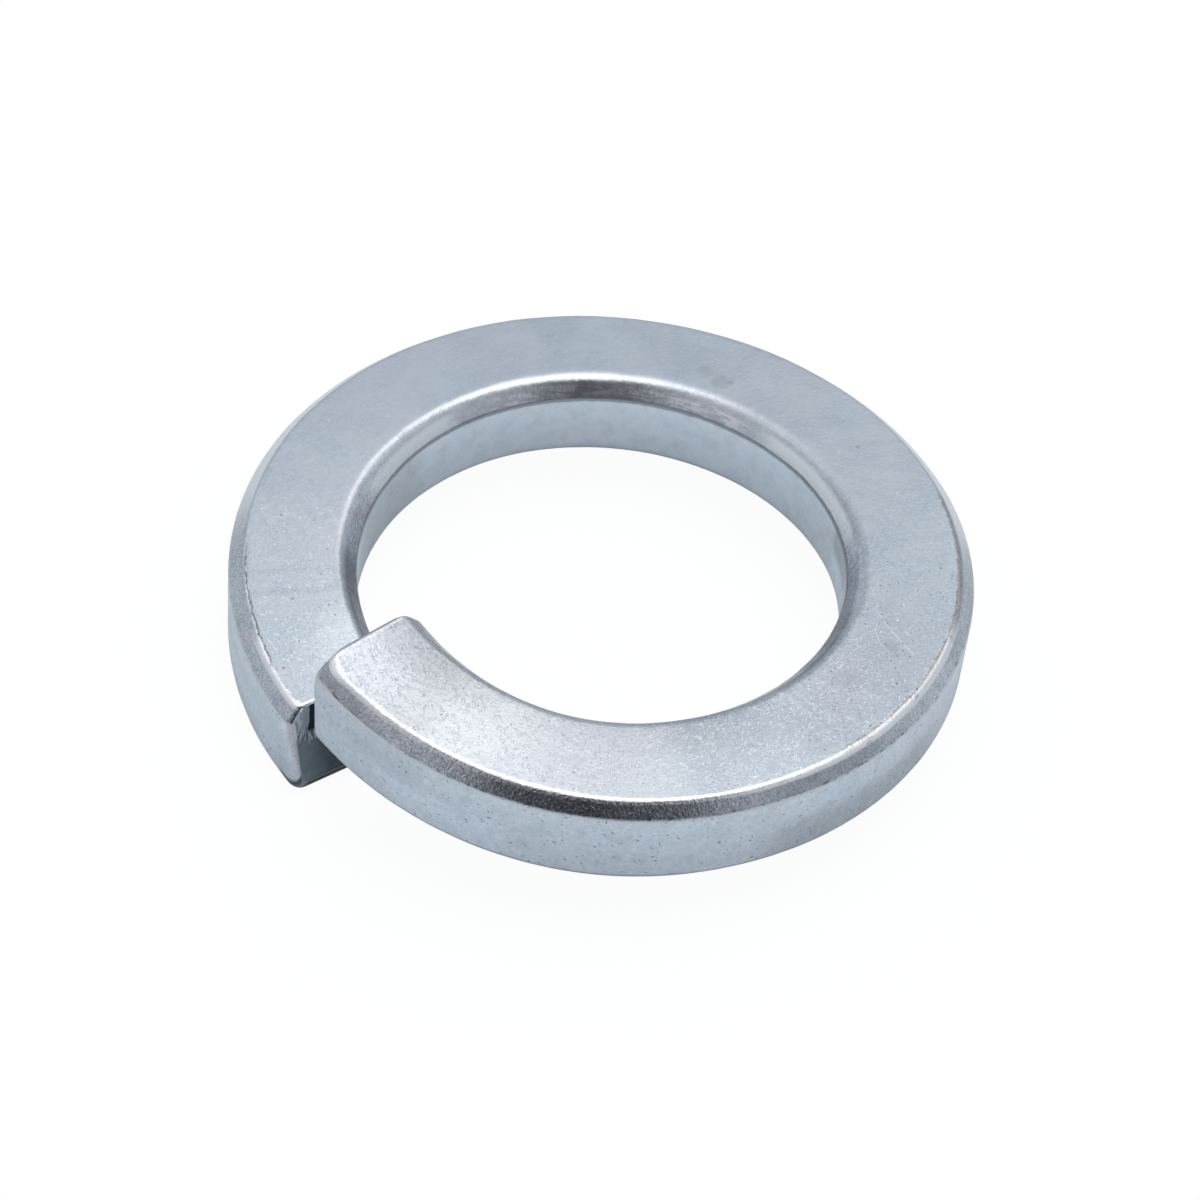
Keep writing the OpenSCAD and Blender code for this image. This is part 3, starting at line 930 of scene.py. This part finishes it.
# the floor's own grey and the studio's colours, as reflections see them
FLOOR_GREY = (0.78, 0.81, 0.835, 1)
WHITE = (1, 1, 1, 1)
WALLS = (0.55, 0.60, 0.645, 1)
CEILING = (0.94, 0.97, 1.0, 1)
DIM_SIDE = (0.28, 0.29, 0.31, 1)
DARK_SIDE = (0.034, 0.034, 0.041, 1)
BRIGHT_PANEL = (1.66, 1.63, 1.6, 1)
# the walls turn into the ceiling between these elevations
CEILING_FROM, CEILING_TO = 28, 66
# half the floor's side, in metres
FLOOR_REACH = 2


def toward(azimuth, elevation):
    """A direction given by its azimuth from the camera's own and its elevation, in degrees."""
    a, e = math.radians(CAM_AZIMUTH + azimuth), math.radians(elevation)
    return Vector((math.cos(e) * math.cos(a), math.cos(e) * math.sin(a), math.sin(e)))


def lamp(name, azimuth, elevation, distance, size, radiance, colour):
    """An oval lamp that looks at the middle, with its light given as radiance."""
    data = bpy.data.lights.new(name, "AREA")
    data.shape = "ELLIPSE"
    data.size, data.size_y = size
    area = math.pi * size[0] * size[1] / 4
    data.energy = radiance * math.pi * area
    data.color = colour
    obj = bpy.data.objects.new(name, data)
    way = toward(azimuth, elevation)
    obj.location = way * distance
    obj.rotation_euler = way.to_track_quat("Z", "Y").to_euler()
    bpy.context.scene.collection.objects.link(obj)


lamp("softbox", azimuth=100, elevation=84, distance=0.45, size=(0.36, 0.34), radiance=1.4,
     colour=(1.0, 0.985, 0.96))

floor_mesh = bpy.data.meshes.new("floor")
floor_corners = [(x * FLOOR_REACH, y * FLOOR_REACH, 0) for x, y in ((-1, -1), (1, -1), (1, 1), (-1, 1))]
floor_mesh.from_pydata(floor_corners, [], [(0, 1, 2, 3)])
floor = bpy.data.objects.new("floor", floor_mesh)
bpy.context.scene.collection.objects.link(floor)


def floor_material():
    """A pale floor that shows as white and keeps a faint shadow."""
    mat = bpy.data.materials.new("pale_floor")
    mat.use_nodes = True
    n = Nodes(mat.node_tree)
    path = n.add("ShaderNodeLightPath").outputs
    diffuse = n.add("ShaderNodeBsdfDiffuse", {"Color": FLOOR_GREY})
    white = n.add("ShaderNodeEmission", {"Color": WHITE, "Strength": FLOOR_WHITE})
    glossy = n.math("MAXIMUM", path["Is Glossy Ray"], path["Is Transmission Ray"])
    share = n.math("MAXIMUM", n.math("MULTIPLY", path["Is Camera Ray"], CAMERA_WHITE),
                   n.math("MULTIPLY", glossy, GLOSSY_WHITE))
    mixed = n.add("ShaderNodeMixShader", {0: share, 1: diffuse.outputs[0], 2: white.outputs[0]})
    out = n.add("ShaderNodeOutputMaterial")
    n.put(out.inputs["Surface"], mixed.outputs[0])
    return mat


floor_mesh.materials.append(floor_material())


def surroundings():
    """A plain studio: grey-blue walls, a brighter ceiling and the dark side where the camera stands."""
    world = bpy.data.worlds.new("studio")
    bpy.context.scene.world = world
    world.use_nodes = True
    n = Nodes(world.node_tree)
    way = n.add("ShaderNodeTexCoord").outputs["Generated"]
    rise = n.add("ShaderNodeSeparateXYZ", {0: way}).outputs["Z"]

    def lobe(azimuth, elevation, inner, outer):
        """1 within inner degrees of a direction, 0 beyond outer degrees."""
        dot = n.add("ShaderNodeVectorMath", {0: way, 1: toward(azimuth, elevation)}, operation="DOT_PRODUCT")
        return n.remap(dot.outputs["Value"], math.cos(math.radians(outer)), math.cos(math.radians(inner)))

    high = n.remap(rise, math.sin(math.radians(CEILING_FROM)), math.sin(math.radians(CEILING_TO)))
    colour = n.mix(high, WALLS, CEILING)
    colour = n.mix(n.math("MULTIPLY", lobe(10, 36, 20, 66), 0.45), colour, DIM_SIDE)
    colour = n.mix(lobe(9, 41, 15, 29), colour, DARK_SIDE)
    colour = n.mix(lobe(158, 53, 4, 18), colour, BRIGHT_PANEL)
    room = n.add("ShaderNodeBackground", {"Color": colour, "Strength": 1.0})
    white = n.add("ShaderNodeBackground", {"Color": WHITE, "Strength": 1.0})
    path = n.add("ShaderNodeLightPath").outputs
    mixed = n.add("ShaderNodeMixShader", {0: path["Is Camera Ray"], 1: room.outputs[0], 2: white.outputs[0]})
    out = n.add("ShaderNodeOutputWorld")
    n.put(out.inputs["Surface"], mixed.outputs[0])


surroundings()
bpy.context.scene.view_settings.view_transform = "Standard"
